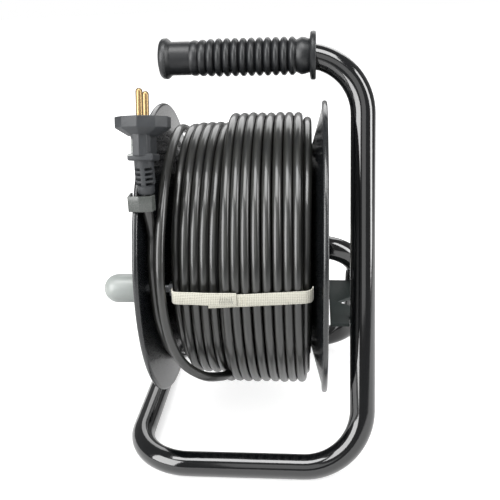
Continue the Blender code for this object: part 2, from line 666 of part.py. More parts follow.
def build_plug():
    """Contour plug standing on its sleeve, its head leaning back along the rim, pins up."""
    low = 0.0790
    foot = place(PLUG_X, PLUG_Y, low)
    bend = foot + Vector((0, 0, PLUG_BEND_HEIGHT))
    lean = Matrix.Rotation(-PLUG_LEAN, 3, "X")
    axis = lean @ Vector((0, 0, 1))

    def leaning(side, height):
        return bend + lean @ Vector((0, side, height - PLUG_BEND_HEIGHT))

    sleeve = [(0, 0), (0.0058, 0), (0.0062, 0.0060), (0.0072, 0.0075), (0.0068, 0.0285), (0, 0.0285)]
    plug = turned("plug_body", sleeve, PLUG_PLASTIC, foot, (0, 0, 1), 16)
    for i in range(4):
        slot = box("slot", (0.0200, 0.0050, 0.0016),
                   foot + Vector((0, -0.0068, 0.0082 + 0.0036 * i)), STEEL)
        combine(plug, slot, "DIFFERENCE")
    top = PLUG_FACE_Z - low
    collar = box("plug_collar", (0.0190, 0.0250, 0.0060), leaning(0, 0.0262), PLUG_PLASTIC, 0.0020)
    neck = box("plug_neck", (0.0138, 0.0280, 0.0220), leaning(0, 0.0370), PLUG_PLASTIC, 0.0020)
    for extra in (collar, neck):
        extra.rotation_euler = (-PLUG_LEAN, 0, 0)
    head = turned("plug_head", [(0, top), (PLUG_HEAD_R - 0.001, top), (PLUG_HEAD_R, top - 0.001),
                                (PLUG_HEAD_R, top - 0.0075), (0.0090, top - 0.0135),
                                (0, top - 0.0135)], PLUG_PLASTIC, leaning(0, 0), axis, 32)
    for extra in (collar, neck, head):
        combine(plug, extra, "UNION")
    for i, side in enumerate((-1, 1), 1):
        point = leaning(side * PIN_SPACING / 2, top)
        drill(plug, PIN_R + GAP, point, axis, 0.008)
        pin = [(0, -0.0037), (PIN_R, -0.0037), (PIN_R, PIN_LENGTH - 0.002),
               (PIN_R * 0.6, PIN_LENGTH), (0, PIN_LENGTH)]
        turned(f"plug_pin_{i}", pin, NICKEL, point, axis, 12)


def build_clip():
    """Spring clip over the front rim, wrapped round the cord under the plug's sleeve."""
    wall, middle_z, height = 0.0016, 0.0727, 0.0115
    off_rim = GAP + wall / 2
    hook_x = -DRUM_WIDTH - off_rim
    inner_x = -DRUM_WIDTH + LIP + off_rim
    lowest_z = middle_z - height / 2
    edge_y = -math.sqrt(FLANGE_R ** 2 - lowest_z ** 2) - off_rim
    path = [(hook_x, -0.0965), (hook_x, edge_y), (inner_x, edge_y), (inner_x + 0.0008, -0.1072),
            (PLUG_X, -0.1068), (PLUG_X + 0.0042, -0.1058), (PLUG_X + 0.0058, -0.1018)]
    band("plug_clip", path, height, wall, middle_z, GREY_PLASTIC)


def build_strap():
    """Woven strap over the wound cord, its ends tucked down beside the turns."""
    outside = -(COIL_R + GAP + STRAP_THICKNESS / 2)
    left, right = COIL_LEFT_X + 0.0026, COIL_RIGHT_X + 0.0012
    path = [(left, -0.1095), (left + 0.0006, -0.1135), (left + 0.0040, outside + 0.0006),
            (COIL_STEP_X - 0.004, outside), (COIL_RIGHT_X + 0.0002, outside),
            (right, outside + 0.0010), (right + 0.0002, outside + 0.0070)]
    band("strap_band", path, STRAP_WIDTH, STRAP_THICKNESS, STRAP_Z, WEBBING)


def main():
    build_frame_tube()
    build_tie_plate()
    build_grip()
    build_axle_hardware()
    build_flanges()
    build_core()
    build_bearings()
    build_tie_bolts()
    build_socket_plate()
    build_sockets()
    build_contacts()
    build_cut_out()
    build_wiring()
    build_knob()
    build_cord()
    build_plug()
    build_clip()
    build_strap()


main()
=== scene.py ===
"""Looks of the extension cord reel: wound cord, steel drum, bent tube frame, grip and plug.

Lengths are metres in the part's own frame, +Z up, with the drum's axle along X.  Points given as
(x, y, z) inside the classes are counted from the drum's rear rim and from the axle; place() turns
them into the part's frame.
"""
import logging
import math
from dataclasses import dataclass, field
from enum import Enum
from typing import Iterable, Sequence

import bmesh
import bpy
from mathutils import Matrix, Vector


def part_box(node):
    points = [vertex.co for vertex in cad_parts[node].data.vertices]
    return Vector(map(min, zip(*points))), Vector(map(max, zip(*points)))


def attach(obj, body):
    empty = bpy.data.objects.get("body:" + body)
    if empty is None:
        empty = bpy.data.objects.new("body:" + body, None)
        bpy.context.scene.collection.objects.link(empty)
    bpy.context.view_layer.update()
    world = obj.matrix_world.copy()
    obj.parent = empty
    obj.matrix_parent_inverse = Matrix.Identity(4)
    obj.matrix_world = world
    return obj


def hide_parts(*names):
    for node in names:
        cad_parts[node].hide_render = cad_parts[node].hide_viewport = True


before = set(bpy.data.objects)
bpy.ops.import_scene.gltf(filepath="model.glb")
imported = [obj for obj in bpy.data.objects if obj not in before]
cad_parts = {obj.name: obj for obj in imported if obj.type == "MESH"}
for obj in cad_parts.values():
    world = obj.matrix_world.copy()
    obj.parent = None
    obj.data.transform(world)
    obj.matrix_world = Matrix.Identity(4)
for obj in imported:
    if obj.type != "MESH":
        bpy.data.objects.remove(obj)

LOG = logging.getLogger("cord_reel")
Point = tuple[float, float, float]
Piece = bpy.types.Object
Tree = bpy.types.NodeTree
Socket = bpy.types.NodeSocket

RIM_LOW, RIM_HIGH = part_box("rear_flange")
REAR_X = RIM_HIGH.x
AXLE_Z = (RIM_LOW.z + RIM_HIGH.z) / 2
# GAP parts pieces that only touch; CONE_SLOPE is a flange's fall for each metre further out.
GAP = 0.0003
MM = 0.001
MERGE_DISTANCE = 0.000002
LEAST_ROUGHNESS = 0.02
DRUM_WIDTH = 0.1416
FLANGE_R = 0.125
FLANGE_LIP = 0.0045
DISH = 0.0165
FLAT_R = 0.070
CONE_SLOPE = 0.27014
PLUG_X, PLUG_Y = -0.1309, -0.100
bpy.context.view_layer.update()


class Axis(Enum):
    """Direction that a turned piece is spun about."""

    X = (1.0, 0.0, 0.0)
    Z = (0.0, 0.0, 1.0)


class Body(Enum):
    """CAD bodies that pieces ride on."""

    FRAME = "frame"
    DRUM = "drum"
    KNOB = "knob"
    BUTTON = "reset_button"


def place(x: float, y: float, z: float) -> Vector:
    """Return the part-frame point of one given from the rear rim and the axle."""
    return Vector((x + REAR_X, y, z + AXLE_Z))


def round_axle(radius: float, degrees: float, x: float) -> Point:
    """Return a point round the axle; 180 degrees is the near side and 270 the bottom."""
    angle = math.radians(degrees)
    return (x, radius * math.cos(angle), radius * math.sin(angle))


# ---- materials ------------------------------------------------------------------------------
def linear(code: str) -> tuple[float, float, float, float]:
    """Turn an sRGB hex colour into linear RGBA.

    Args:
        code: Six hex digits with a leading #.

    Returns:
        Linear red, green, blue and an alpha of 1.
    """
    parts = [int(code[i:i + 2], 16) / 255 for i in (1, 3, 5)]
    red, green, blue = [p / 12.92 if p <= 0.04045 else ((p + 0.055) / 1.055) ** 2.4 for p in parts]
    return (red, green, blue, 1.0)


def per_mm(size_mm: float) -> float:
    """Return the texture scale whose features are about this many millimetres across."""
    return 1 / (size_mm * MM)


def add_node(tree: Tree, kind: str, settings: dict | None = None,
             links: dict | None = None) -> bpy.types.Node:
    """Add a node, set it up and link it.

    Args:
        tree: Node tree to add to.
        kind: Blender's name of the node type.
        settings: Node attributes, or values of input sockets by name or number.
        links: Output sockets to join to the node's inputs, by name or number.

    Returns:
        The new node.
    """
    node = tree.nodes.new(kind)
    for key, value in (settings or {}).items():
        if isinstance(key, str) and hasattr(node, key):
            setattr(node, key, value)
        else:
            node.inputs[key].default_value = value
    for key, socket in (links or {}).items():
        tree.links.new(socket, node.inputs[key])
    return node


def feed(tree: Tree, inlet: Socket, value: Socket | str | float) -> None:
    """Join a socket to an input, or set the input to a number or a hex colour."""
    if isinstance(value, Socket):
        tree.links.new(value, inlet)
    else:
        inlet.default_value = linear(value) if isinstance(value, str) else value


def noise(tree: Tree, where: Socket, scale: float, detail: float) -> Socket:
    """Return the heights of a noise texture."""
    return add_node(tree, "ShaderNodeTexNoise", {"Scale": scale, "Detail": detail},
                    {"Vector": where}).outputs["Fac"]


def maths(tree: Tree, operation: str, first: Socket, second: Socket | float) -> Socket:
    """Return the result of one operation on a socket and a second socket or number."""
    node = add_node(tree, "ShaderNodeMath", {"operation": operation}, {0: first})
    feed(tree, node.inputs[1], second)
    return node.outputs["Value"]


def blend(tree: Tree, factor: Socket, first: Socket | str, second: Socket | str) -> Socket:
    """Mix two colours, each a socket or a hex code.

    Args:
        tree: Node tree to add to.
        factor: 0 for the first colour and 1 for the second.
        first: First colour.
        second: Second colour.

    Returns:
        Socket of the mixed colour.
    """
    mix = add_node(tree, "ShaderNodeMix", {"data_type": "RGBA"}, {0: factor})
    feed(tree, mix.inputs[6], first)
    feed(tree, mix.inputs[7], second)
    return mix.outputs[2]


@dataclass(frozen=True)
class Finish:
    """A surface: what it is made of, how it was made and the grain that leaves."""

    name: str
    colour: str
    second_colour: str
    roughness: float
    roughness_spread: float = 0.06
    metallic: float = 0.0
    ior: float = 1.5
    grain_mm: float = 0.8
    grain_depth_mm: float = 0.02
    mottle_mm: float = 14.0
    coat: float = 0.0
    coat_roughness: float = 0.06
    sheen: float = 0.0

    def vector(self, tree: Tree) -> Socket:
        """Return the coordinates that the grain reads."""
        return add_node(tree, "ShaderNodeTexCoord").outputs["Object"]

    def height(self, tree: Tree, where: Socket) -> Socket:
        """Return the surface's small heights."""
        return noise(tree, where, per_mm(self.grain_mm), 3.0)

    def colours(self, tree: Tree, where: Socket, height: Socket) -> Socket:
        """Return the surface's colour, which drifts slowly between the two colours."""
        mottle = noise(tree, where, per_mm(self.mottle_mm), 4.0)
        return blend(tree, mottle, self.colour, self.second_colour)

    def make(self) -> bpy.types.Material:
        """Build the finish, or return it if it is already made.

        Returns:
            The material.
        """
        if self.name in bpy.data.materials:
            return bpy.data.materials[self.name]
        material = bpy.data.materials.new(self.name)
        material.use_nodes = True
        tree = material.node_tree
        shader = tree.nodes["Principled BSDF"]
        shader.inputs["Metallic"].default_value = self.metallic
        if not self.metallic:
            shader.inputs["IOR"].default_value = self.ior
        shader.inputs["Coat Weight"].default_value = self.coat
        shader.inputs["Coat Roughness"].default_value = self.coat_roughness
        shader.inputs["Sheen Weight"].default_value = self.sheen
        where = self.vector(tree)
        height = self.height(tree, where)
        tree.links.new(self.colours(tree, where, height), shader.inputs["Base Color"])
        rough = add_node(tree, "ShaderNodeMapRange",
                         {"To Min": max(LEAST_ROUGHNESS, self.roughness - self.roughness_spread),
                          "To Max": self.roughness + self.roughness_spread}, {"Value": height})
        tree.links.new(rough.outputs["Result"], shader.inputs["Roughness"])
        bump = add_node(tree, "ShaderNodeBump", {"Distance": self.grain_depth_mm * MM},
                        {"Height": height})
        tree.links.new(bump.outputs["Normal"], shader.inputs["Normal"])
        return material


@dataclass(frozen=True)
class CordSheath(Finish):
    """Extruded soft PVC: long shallow draw marks run with the cord, from its UV map."""

    draw_mm: float = 22.0
    streaks: float = 9.0

    def vector(self, tree: Tree) -> Socket:
        """Return coordinates stretched along the cord; U is metres along it, V goes round it."""
        chart = add_node(tree, "ShaderNodeUVMap", {"uv_map": "sheath"})
        stretch = add_node(tree, "ShaderNodeMapping", {}, {"Vector": chart.outputs["UV"]})
        stretch.inputs["Scale"].default_value = (per_mm(self.draw_mm), self.streaks, 1.0)
        return stretch.outputs["Vector"]

    def height(self, tree: Tree, where: Socket) -> Socket:
        """Return draw marks along the cord."""
        return noise(tree, where, 1.0, 4.0)

    def colours(self, tree: Tree, where: Socket, height: Socket) -> Socket:
        """Return black streaked with painted highlight, a warm grey that follows the draw marks."""
        return blend(tree, height, self.colour, self.second_colour)


@dataclass(frozen=True)
class WovenTape(Finish):
    """Plain-woven polypropylene tape.

    Its real threads are 0.45 mm apart, too fine to show, so they are drawn 1.3 mm apart.
    """

    thread_mm: float = 1.3

    def height(self, tree: Tree, where: Socket) -> Socket:
        """Return crossing threads, one set along X and one along Z."""
        # a wave texture of scale 1 repeats every 0.314 m
        scale = 0.314 / (self.thread_mm * MM)
        along, across = [add_node(tree, "ShaderNodeTexWave",
                                  {"bands_direction": way, "Scale": scale},
                                  {"Vector": where}).outputs["Fac"] for way in ("X", "Z")]
        return maths(tree, "MAXIMUM", along, across)

    def colours(self, tree: Tree, where: Socket, height: Socket) -> Socket:
        """Return pale threads with painted shade, a darker colour, in the dents between them."""
        return blend(tree, height, self.second_colour, self.colour)


@dataclass(frozen=True)
class PebbledMoulding(Finish):
    """Soft PVC moulding whose neck has a pebbled finger patch on its outer side, drawn as painted
    highlight.
    """

    pebble_mm: float = 1.1
    painted_pebble_highlight: str = "#b4b6b3"
    painted_gap_highlight: str = "#3c4042"
    patch_x: float = 0.0
    patch_low: float = 0.0
    patch_high: float = 0.0

    def colours(self, tree: Tree, where: Socket, height: Socket) -> Socket:
        """Return the moulding's grey, with pale pebbles inside the patch: painted highlight,
        brightest at each pebble's middle.
        """
        plain = super().colours(tree, where, height)
        split = add_node(tree, "ShaderNodeSeparateXYZ", {}, {0: where})
        tests = (("LESS_THAN", "X", self.patch_x), ("GREATER_THAN", "Z", self.patch_low),
                 ("LESS_THAN", "Z", self.patch_high))
        inside = None
        for operation, letter, limit in tests:
            test = maths(tree, operation, split.outputs[letter], limit)
            inside = test if inside is None else maths(tree, "MULTIPLY", inside, test)
        # Painted highlight: pale at each pebble's middle, dimmer towards its edge, and everywhere
        # lighter than the moulding.
        pebbles = add_node(tree, "ShaderNodeTexVoronoi", {"Scale": per_mm(self.pebble_mm)},
                           {"Vector": where}).outputs["Distance"]
        pale = blend(tree, pebbles, self.painted_pebble_highlight, self.painted_gap_highlight)
        return blend(tree, inside, plain, pale)


# Gloss powder coat: faint orange peel that bends long highlights.
GLOSS_POWDER_COAT = Finish("gloss_powder_coat", "#050607", "#090a0c", 0.11, 0.03, ior=1.57,
                           grain_mm=1.6, grain_depth_mm=0.02, coat=0.6)
# Satin stoved paint on spun sheet: soft wide reflections with a fine tooth.
SATIN_STOVED_PAINT = Finish("satin_stoved_paint", "#0f1113", "#16181a", 0.27, 0.06, ior=1.52,
                            grain_mm=0.7, grain_depth_mm=0.02, coat=0.30)
# Black paint of the pressed plate, made matt: its slightly green grey is a painted reflection of
# the dark surroundings that the downward-facing plate mirrors; no highlight.
PLATE_PAINTED_REFLECTION = Finish("plate_painted_reflection", "#1f2726", "#28302e", 0.66, 0.08, grain_mm=0.9,
                     grain_depth_mm=0.04)
# Polypropylene grip from a textured mould: dull sheen on the ribs' crowns.
MOULDED_POLYPROPYLENE = Finish("moulded_polypropylene", "#0f1012", "#181a1c", 0.40, 0.08, ior=1.49,
                               grain_mm=0.6, grain_depth_mm=0.03)
# Satin ABS of the winding knob: one soft bright band along it.
SATIN_ABS = Finish("satin_abs", "#7f8482", "#8b8f8c", 0.33, 0.05, ior=1.54, grain_mm=0.5,
                   grain_depth_mm=0.012)
# Grey spring clip, nylon: duller than the knob.
CLIP_NYLON = Finish("clip_nylon", "#3d403e", "#4a4d4a", 0.27, 0.06, ior=1.53, grain_mm=0.7)
# Natural nylon bushes and terminal block: milky and waxy.
NATURAL_NYLON = Finish("natural_nylon", "#c9c8bf", "#bab9b0", 0.45, 0.06, ior=1.53)
# Thermoset socket moulding: dense black with a fine tooth.
SOCKET_MOULDING = Finish("socket_moulding", "#1a1b1d", "#222426", 0.40, 0.06, ior=1.55,
                         grain_mm=0.6, grain_depth_mm=0.02)
# Bright zinc plate: pale, slightly blue metal with a soft blur.
ZINC_PLATE = Finish("zinc_plate", "#b9bcc0", "#c9ccd0", 0.30, 0.08, metallic=1.0, grain_mm=0.9,
                    grain_depth_mm=0.01)
# Drawn brass strip.
DRAWN_BRASS = Finish("drawn_brass", "#c9a35a", "#d8b56c", 0.28, 0.06, metallic=1.0)
# Plated brass pins, coloured tan, with a broad soft highlight.  A finish needs a name that
# no slot of the record has, because make() hands back any material that already has its name.
TAN_PIN_METAL = Finish("tan_pin_metal", "#8a7350", "#9c8561", 0.36, 0.05, metallic=1.0,
                       grain_mm=0.5, grain_depth_mm=0.005)
# Red polycarbonate of the reset button.
RED_POLYCARBONATE = Finish("red_polycarbonate", "#b3211a", "#bf2d22", 0.28, 0.04, ior=1.58)
# Flexible black PVC sheath: glossy, with faint lengthwise streaks of painted highlight in warm
# grey.
PVC_SHEATH = CordSheath("pvc_sheath", "#090b11", "#24241f", 0.33, 0.06, ior=1.53,
                        grain_depth_mm=0.05, coat=0.42)
# Dark thread of the zigzag.
DARK_THREAD = Finish("dark_thread", "#43464a", "#55585b", 0.75, 0.05, sheen=0.2)
# Pale thread of the straight rows.
PALE_THREAD = Finish("pale_thread", "#a5a190", "#b4b09f", 0.80, 0.05, sheen=0.2)
# Ivory woven tape: dull, with a soft fuzz at grazing angles; its darker second colour is painted
# shade in the dents between threads.
IVORY_WEBBING = WovenTape("ivory_webbing", "#bab8ac", "#7c7a6f", 0.82, 0.05, ior=1.49,
                          grain_depth_mm=0.25, sheen=0.25)


# ---- modelling steps ------------------------------------------------------------------------
def deselect() -> None:
    """Leave object mode's selection empty."""
    if bpy.context.mode != "OBJECT":
        bpy.ops.object.mode_set(mode="OBJECT")
    bpy.ops.object.select_all(action="DESELECT")


def activate(piece: Piece) -> None:
    """Select one piece and make it active."""
    deselect()
    piece.select_set(True)
    bpy.context.view_layer.objects.active = piece


def draw_chain(name: str, points: Sequence[Vector]) -> Piece:
    """Draw a chain of joined points and leave it in edit mode.

    Args:
        name: Name of the new object.
        points: Points in the part's frame.

    Returns:
        The object, in edit mode.
    """
    deselect()
    bpy.ops.mesh.primitive_plane_add(size=MM, location=(0, 0, 0))
    piece = bpy.context.object
    piece.name = name
    piece.data.name = name
    bpy.ops.object.mode_set(mode="EDIT")
    bpy.ops.mesh.select_mode(type="VERT")
    bpy.ops.mesh.select_all(action="SELECT")
    bpy.ops.mesh.merge(type="CENTER")
    bpy.ops.transform.translate(value=points[0])
    for before, after in zip(points, points[1:]):
        bpy.ops.mesh.extrude_vertices_move(
            TRANSFORM_OT_translate={"value": tuple(Vector(after) - Vector(before))})
    return piece


def close_up() -> None:
    """Merge doubled points and turn the faces outwards, from edit mode back to object mode."""
    bpy.ops.mesh.select_all(action="SELECT")
    bpy.ops.mesh.remove_doubles(threshold=MERGE_DISTANCE)
    bpy.ops.mesh.normals_make_consistent(inside=False)
    bpy.ops.object.mode_set(mode="OBJECT")


def round_edges(piece: Piece, width: float, segments: int = 2,
                limit: float = 35.0) -> None:
    """Round the sharp edges and smooth the shading.

    Args:
        piece: Piece to finish.
        width: Width of the rounding, or 0 for none.
        segments: Faces across it.
        limit: Angle in degrees above which an edge is sharp.
    """
    activate(piece)
    if width:
        edges = piece.modifiers.new("edges", "BEVEL")
        edges.width = width
        edges.segments = segments
        edges.limit_method = "ANGLE"
        edges.angle_limit = math.radians(limit)
        bpy.ops.object.modifier_apply(modifier=edges.name)
    bpy.ops.object.shade_smooth_by_angle(angle=math.radians(limit))


def turn_profile(name: str, profile: Iterable[tuple[float, float]], centre: Vector, steps: int,
                 axis: Axis = Axis.X) -> Piece:
    """Spin a section about an axis, as on a lathe.

    Args:
        name: Name of the new piece.
        profile: (radius, height) points; one that starts or ends off the axis is closed to a ring.
        centre: Point on the axis that heights are counted from.
        steps: Faces round the piece.
        axis: Direction of the axis.

    Returns:
        The finished mesh piece.
    """
    rows = list(profile)
    if rows[0][0] > 0 or rows[-1][0] > 0:
        rows.append(rows[0])
    along = Vector(axis.value)
    side = Vector((0, 0, 1)) if axis is Axis.X else Vector((1, 0, 0))
    piece = draw_chain(name, [centre + along * height + side * radius for radius, height in rows])
    bpy.ops.mesh.select_all(action="SELECT")
    bpy.ops.mesh.spin(steps=steps, angle=2 * math.pi, center=centre, axis=along)
    close_up()
    round_edges(piece, 0)
    return piece


def bend_rod(name: str, points: Sequence[Vector], radius: float, detail: int) -> Piece:
    """Sweep a round section along points, as a bent tube or wire with closed ends."""
    draw_chain(name, points)
    bpy.ops.object.mode_set(mode="OBJECT")
    bpy.ops.object.convert(target="CURVE")
    line = bpy.context.object
    line.data.dimensions = "3D"
    line.data.bevel_depth = radius
    line.data.bevel_resolution = detail
    line.data.use_fill_caps = True
    bpy.ops.object.convert(target="MESH")
    piece = bpy.context.object
    piece.name = name
    bpy.ops.object.mode_set(mode="EDIT")
    close_up()
    round_edges(piece, 0, limit=50)
    return piece


def raise_outline(name: str, outline: Sequence[Vector], rise: Vector,
                  rounding: float) -> Piece:
    """Fill a closed outline and extrude it, for pressed plates and prisms."""
    piece = draw_chain(name, [*outline, outline[0]])
    bpy.ops.mesh.select_all(action="SELECT")
    bpy.ops.mesh.remove_doubles(threshold=MERGE_DISTANCE)
    bpy.ops.mesh.edge_face_add()
    bpy.ops.mesh.select_all(action="SELECT")
    bpy.ops.mesh.extrude_region_move(TRANSFORM_OT_translate={"value": tuple(rise)})
    close_up()
    round_edges(piece, rounding, 3)
    return piece


def fold_strip(name: str, path: Sequence[Vector], width: float, thickness: float,
               rounding: float) -> Piece:
    """Bend a flat strip along a path, with its width along Z.

    Args:
        name: Name of the new piece.
        path: Points of the strip's lower edge.
        width: Width of the strip.
        thickness: Thickness of the strip.
        rounding: Width of the rounded edges.

    Returns:
        The finished mesh piece.
    """
    piece = draw_chain(name, path)
    bpy.ops.mesh.select_all(action="SELECT")
    bpy.ops.mesh.extrude_region_move(TRANSFORM_OT_translate={"value": (0, 0, width)})
    bpy.ops.object.mode_set(mode="OBJECT")
    wall = piece.modifiers.new("wall", "SOLIDIFY")
    wall.thickness = thickness
    wall.offset = 0
    wall.use_even_offset = True
    bpy.ops.object.modifier_apply(modifier=wall.name)
    bpy.ops.object.mode_set(mode="EDIT")
    close_up()
    round_edges(piece, rounding)
    return piece


def carve(piece: Piece, other: Piece, operation: str) -> None:
    """Cut another piece out of this one, or join it on, and remove the other."""
    activate(piece)
    step = piece.modifiers.new("carve", "BOOLEAN")
    step.operation = operation
    step.solver = "EXACT"
    step.object = other
    bpy.ops.object.modifier_apply(modifier=step.name)
    bpy.data.objects.remove(other, do_unlink=True)


def drill(piece: Piece, centre: Vector, radius: float, half_depth: float, steps: int) -> None:
    """Cut a round hole through a piece, along X."""
    profile = [(0, -half_depth), (radius, -half_depth), (radius, half_depth), (0, half_depth)]
    carve(piece, turn_profile("drill", profile, centre, steps), "DIFFERENCE")


def block(name: str, size: Point, centre: Vector, rounding: float) -> Piece:
    """Raise a rounded block from a rectangle about its centre."""
    half_x, half_y = size[0] / 2, size[1] / 2
    low = centre - Vector((0, 0, size[2] / 2))
    corners = ((-half_x, -half_y), (half_x, -half_y), (half_x, half_y), (-half_x, half_y))
    return raise_outline(name, [low + Vector((x, y, 0)) for x, y in corners],
                         Vector((0, 0, size[2])), rounding)


def rounded_path(corners: Sequence[Vector], radii: Sequence[float], steps: int) -> list[Vector]:
    """Replace each inner corner of a line by an arc.

    Args:
        corners: Ends and corners of the line.
        radii: Arc radius at each inner corner.
        steps: Parts in each arc.

    Returns:
        Points along the rounded line.
    """
    path = [corners[0]]
    for before, corner, after, radius in zip(corners, corners[1:], corners[2:], radii):
        to_before, to_after = (before - corner).normalized(), (after - corner).normalized()
        half = to_before.angle(to_after) / 2
        centre = corner + (to_before + to_after).normalized() * radius / math.sin(half)
        start = corner + to_before * radius / math.tan(half)
        end = corner + to_after * radius / math.tan(half)
        path += [centre + (start - centre).slerp(end - centre, i / steps).normalized() * radius
                 for i in range(steps + 1)]
    path.append(corners[-1])
    return path


def smooth_path(points: Sequence[Vector], spacing: float, parts: int = 24) -> list[Vector]:
    """Read evenly spaced points from a smooth curve, drawn in fine parts between the given ones."""
    ends = [points[0] * 2 - points[1], *points, points[-1] * 2 - points[-2]]
    fine = []
    for a, b, c, d in zip(ends, ends[1:], ends[2:], ends[3:]):
        for i in range(parts):
            t = i / parts
            fine.append(0.5 * (2 * b + (c - a) * t + (2 * a - 5 * b + 4 * c - d) * t * t
                               + (3 * b - a - 3 * c + d) * t ** 3))
    fine.append(points[-1])
    path = [fine[0]]
    for point in fine:
        if (point - path[-1]).length >= spacing:
            path.append(point)
    path[-1] = fine[-1]
    return path


def add_object(name: str, data: bpy.types.ID) -> Piece:
    """Link a mesh, camera or lamp into the scene as a new object."""
    piece = bpy.data.objects.new(name, data)
    bpy.context.scene.collection.objects.link(piece)
    return piece


def sheath_mesh(name: str, path: Sequence[Vector], radius: float, sides: int) -> Piece:
    """Wrap a round sheath about a long path, with U in metres along it and V round it.

    Args:
        name: Name of the new piece.
        path: Centreline points.
        radius: Radius of the cord.
        sides: Faces round the cord.

    Returns:
        The sheath, closed at both ends.
    """
    verts: list[Vector] = []
    lengths = [0.0]
    normal = (path[1] - path[0]).orthogonal().normalized()
    for i, point in enumerate(path):
        tangent = (path[min(i + 1, len(path) - 1)] - path[max(i - 1, 0)]).normalized()
        normal = (normal - tangent * normal.dot(tangent)).normalized()
        other = tangent.cross(normal)
        verts += [point + (normal * math.cos(a) + other * math.sin(a)) * radius
                  for a in (2 * math.pi * k / sides for k in range(sides))]
        if i:
            lengths.append(lengths[-1] + (point - path[i - 1]).length)
    faces = [(i * sides + k, i * sides + (k + 1) % sides,
              (i + 1) * sides + (k + 1) % sides, (i + 1) * sides + k)
             for i in range(len(path) - 1) for k in range(sides)]
    last = (len(path) - 1) * sides
    faces += [tuple(reversed(range(sides))), tuple(range(last, last + sides))]
    mesh = bpy.data.meshes.new(name)
    mesh.from_pydata(verts, [], faces)
    chart = mesh.uv_layers.new(name="sheath").data
    for i in range(len(path) - 1):
        for k in range(sides):
            base = (i * sides + k) * 4
            marks = ((i, k), (i, k + 1), (i + 1, k + 1), (i + 1, k))
            for n, (row, turn) in enumerate(marks):
                chart[base + n].uv = (lengths[row], turn / sides)
    mesh.polygons.foreach_set("use_smooth", [True] * len(mesh.polygons))
    return add_object(name, mesh)


def finish_piece(piece: Piece, finish: Finish, body: Body, slot: str,
                 *nodes: str) -> Piece:
    """Dress a new piece, let it ride on its body and hide the CAD nodes it stands for.

    Args:
        piece: The new piece.
        finish: Its surface.
        body: CAD body that it moves with.
        slot: The record's material slot; not used.
        nodes: CAD nodes that it replaces.

    Returns:
        The same piece.
    """
    piece.data.materials.clear()
    piece.data.materials.append(finish.make())
    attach(piece, body.value)
    if nodes:
        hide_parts(*nodes)
    LOG.info("%s: %s on %s", piece.name, finish.name, body.value)
    return piece


# ---- camera ---------------------------------------------------------------------------------
@dataclass
class StudioCamera:
    """Camera a little above the reel, square to the cord."""

    location: Point = (0.059305, -0.588564, 0.381205)
    yaw: float = -5.571
    pitch: float = 20.998
    roll: float = -1.971
    lens: float = 51.668

    def build(self) -> None:
        """Make the camera and hand it to the scene."""
        yaw, pitch, roll = (math.radians(v) for v in (self.yaw, self.pitch, self.roll))
        ahead = Vector((math.sin(yaw) * math.cos(pitch), math.cos(yaw) * math.cos(pitch),
                        -math.sin(pitch)))
        right = Vector((math.cos(yaw), -math.sin(yaw), 0))
        up = right.cross(ahead)
        turned_right = right * math.cos(roll) + up * math.sin(roll)
        turned_up = up * math.cos(roll) - right * math.sin(roll)
        data = bpy.data.cameras.new("studio_camera")
        data.lens = self.lens
        data.sensor_width = 36.0
        camera = add_object("studio_camera", data)
        basis = Matrix((turned_right, turned_up, -ahead)).transposed().to_4x4()
        camera.matrix_world = Matrix.Translation(self.location) @ basis
        bpy.context.scene.camera = camera


